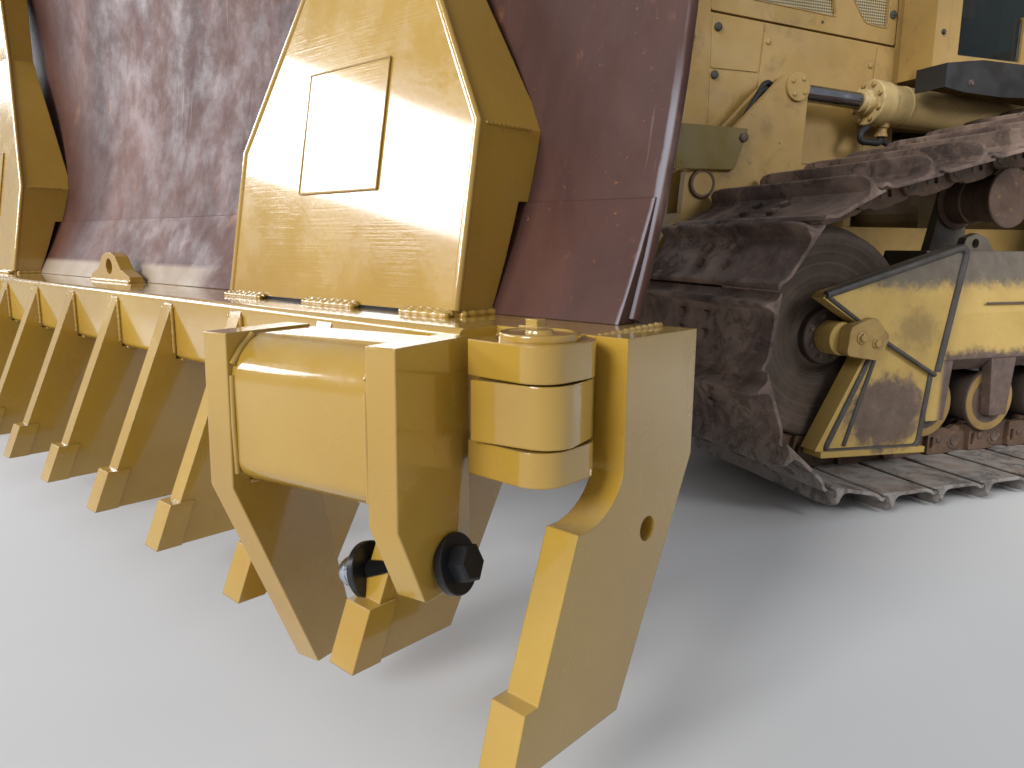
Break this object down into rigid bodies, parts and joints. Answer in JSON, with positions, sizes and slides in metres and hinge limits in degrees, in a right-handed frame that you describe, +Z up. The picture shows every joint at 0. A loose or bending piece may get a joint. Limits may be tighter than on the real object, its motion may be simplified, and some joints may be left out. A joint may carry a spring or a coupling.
{
  "type": "bulldozer",
  "caption": "Crawler bulldozer with raised rear drive sprockets, a power angle and tilt blade and a clip-on stick rake with folding wings.",
  "frame": {"origin": "centre of the drawbar's vertical pin bore, at mid thickness", "axes": "+X to the machine's own left, +Y rearward, +Z up along the pin bore"},
  "size_m": [3.8532, 6.9674, 3.05],
  "materials": {
    "yellow": "semi-gloss, weathered",
    "gold": "new gloss paint",
    "black": "satin",
    "dark_grey": "matte",
    "rusty": "rusted, scratched",
    "edge": "dusty, worn",
    "worn_steel": "rust brown, dusty",
    "steel": "oily, dusty",
    "cast": "matte",
    "exhaust": "heat-browned",
    "chrome": "polished rod",
    "glass": "tinted",
    "lamp": "clear lens",
    "seat": "textured"
  },
  "bodies": {
    "chassis": {"main_frame": "yellow", "radiator_guard": "yellow", "radiator_grille": "dark_grey", "hood": "yellow", "side_panels": "yellow", "engine_block": "cast", "exhaust_stack": "exhaust", "air_precleaner": "dark_grey", "cab_shell": "yellow", "cab_roof": "yellow", "cab_glass": "glass", "seat": "seat", "controls": "dark_grey", "fuel_tank": "yellow", "fenders": "yellow", "lamps": "lamp", "steps": "black", "drawbar": "steel", "idlers": "worn_steel", "sprockets": "worn_steel", "track_rollers": "steel", "carrier_rollers": "steel", "track_shoes_left": "worn_steel", "track_shoes_right": "worn_steel", "track_chain_left": "steel", "track_chain_right": "steel", "track_frame_left": "yellow", "track_frame_right": "yellow"},
    "lift_frame": {"lift_frame": "yellow", "angle_pins": "steel"},
    "blade_knuckle": {"blade_knuckle": "yellow"},
    "blade": {"moldboard": "rusty", "cutting_edge": "edge", "rake_beam": "gold", "rake_tines": "gold", "rake_end_plates": "gold", "wing_hinges": "gold", "rake_towers": "gold", "tower_plates": "gold", "lifting_eye": "gold"},
    "lift_barrel_left": {"lift_barrel_left": "yellow"},
    "lift_barrel_right": {"lift_barrel_right": "yellow"},
    "lift_rod_left": {"lift_rod_left": "chrome"},
    "lift_rod_right": {"lift_rod_right": "chrome"},
    "angle_barrel_left": {"angle_barrel_left": "black"},
    "angle_barrel_right": {"angle_barrel_right": "black"},
    "angle_rod_left": {"angle_rod_left": "chrome"},
    "angle_rod_right": {"angle_rod_right": "chrome"},
    "rake_wing_left": {"rake_wing_left": "gold"},
    "rake_wing_right": {"rake_wing_right": "gold"},
    "engine_door_left": {"engine_door_left": "yellow"},
    "engine_door_right": {"engine_door_right": "yellow"},
    "tilt_barrel": {"tilt_barrel": "black"},
    "tilt_rod": {"tilt_rod": "chrome"},
    "cab_door_left": {"cab_door_left": "yellow", "cab_door_glass_left": "glass"},
    "cab_door_right": {"cab_door_right": "yellow", "cab_door_glass_right": "glass"}
  },
  "joints": [
    {"name": "blade_lift", "type": "hinge", "parent": "chassis", "child": "lift_frame", "pos_m": [0, -2.93, 0.14], "axis": [1, 0, 0], "range_deg": [-9, 1.6]},
    {"name": "lift_barrel_left_swing", "type": "hinge", "parent": "chassis", "child": "lift_barrel_left", "pos_m": [0.5575, -1.68, 0.85], "axis": [1, 0, 0], "range_deg": [-1.76, 0.4]},
    {"name": "lift_rod_left_stroke", "type": "slide", "parent": "lift_barrel_left", "child": "lift_rod_left", "axis": [0, -0.9989, 0.0468], "range_m": [-0.1255, 0.024]},
    {"name": "lift_barrel_right_swing", "type": "hinge", "parent": "chassis", "child": "lift_barrel_right", "pos_m": [-0.5575, -1.68, 0.85], "axis": [1, 0, 0], "range_deg": [-1.76, 0.4]},
    {"name": "lift_rod_right_stroke", "type": "slide", "parent": "lift_barrel_right", "child": "lift_rod_right", "axis": [0, -0.9989, 0.0468], "range_m": [-0.1255, 0.024]},
    {"name": "blade_angle", "type": "hinge", "parent": "lift_frame", "child": "blade_knuckle", "pos_m": [0, -4.97, 0.47], "axis": [0, 0, 1], "range_deg": [-56, 0]},
    {"name": "angle_barrel_left_swing", "type": "hinge", "parent": "lift_frame", "child": "angle_barrel_left", "pos_m": [0.52, -4.02, 0.37], "axis": [0, 0, 1], "range_deg": [-8.36, 0.1]},
    {"name": "angle_rod_left_stroke", "type": "slide", "parent": "angle_barrel_left", "child": "angle_rod_left", "axis": [0.0996, -0.995, 0], "range_m": [-0.002, 0.5627]},
    {"name": "angle_barrel_right_swing", "type": "hinge", "parent": "lift_frame", "child": "angle_barrel_right", "pos_m": [-0.52, -4.02, 0.37], "axis": [0, 0, 1], "range_deg": [-8.36, 0.1]},
    {"name": "angle_rod_right_stroke", "type": "slide", "parent": "angle_barrel_right", "child": "angle_rod_right", "axis": [0.0444, -0.999, 0], "range_m": [-0.5627, 0.002]},
    {"name": "blade_tilt", "type": "hinge", "parent": "blade_knuckle", "child": "blade", "pos_m": [0.14084, -5.23488, 0.47], "axis": [-0.4695, 0.8829, 0], "range_deg": [-6, 6]},
    {"name": "tilt_barrel_swing", "type": "hinge", "parent": "blade_knuckle", "child": "tilt_barrel", "pos_m": [-0.16696, -5.35891, 0.85], "axis": [-0.4695, 0.8829, 0], "range_deg": [-3.1, 3.1]},
    {"name": "tilt_rod_stroke", "type": "slide", "parent": "tilt_barrel", "child": "tilt_rod", "axis": [0.8829, 0.4695, 0], "range_m": [-0.0418, 0.0418]},
    {"name": "rake_wing_left_fold", "type": "hinge", "parent": "blade", "child": "rake_wing_left", "pos_m": [2.14673, -4.85807, 0.11], "axis": [0, 0, 1], "range_deg": [0, 150]},
    {"name": "cab_door_left_open", "type": "hinge", "parent": "chassis", "child": "cab_door_left", "pos_m": [0.62, -2.49, 1.8], "axis": [0, 0, -1], "range_deg": [0, 110]},
    {"name": "engine_door_left_open", "type": "hinge", "parent": "chassis", "child": "engine_door_left", "pos_m": [0.45, -3.5, 1.26], "axis": [0, 0, -1], "range_deg": [0, 110]},
    {"name": "rake_wing_right_fold", "type": "hinge", "parent": "blade", "child": "rake_wing_right", "pos_m": [-1.29323, -6.68713, 0.11], "axis": [0, 0, -1], "range_deg": [0, 150]},
    {"name": "cab_door_right_open", "type": "hinge", "parent": "chassis", "child": "cab_door_right", "pos_m": [-0.62, -2.49, 1.8], "axis": [0, 0, 1], "range_deg": [0, 110]},
    {"name": "engine_door_right_open", "type": "hinge", "parent": "chassis", "child": "engine_door_right", "pos_m": [-0.45, -3.5, 1.26], "axis": [0, 0, 1], "range_deg": [0, 110]}
  ],
  "couplings": [
    {"joint": "lift_barrel_left_swing", "follows": "blade_lift", "ratio": 0.18444},
    {"joint": "lift_rod_left_stroke", "follows": "blade_lift", "m_per_rad": 0.78608},
    {"joint": "lift_barrel_right_swing", "follows": "blade_lift", "ratio": 0.18444},
    {"joint": "lift_rod_right_stroke", "follows": "blade_lift", "m_per_rad": 0.78608},
    {"joint": "angle_barrel_left_swing", "follows": "blade_angle", "ratio": 0.14758},
    {"joint": "angle_rod_left_stroke", "follows": "blade_angle", "m_per_rad": -0.57368},
    {"joint": "angle_barrel_right_swing", "follows": "blade_angle", "ratio": 0.14758},
    {"joint": "angle_rod_right_stroke", "follows": "blade_angle", "m_per_rad": 0.57368},
    {"joint": "tilt_barrel_swing", "follows": "blade_tilt", "ratio": 0.5},
    {"joint": "tilt_rod_stroke", "follows": "blade_tilt", "m_per_rad": 0.37983}
  ]
}
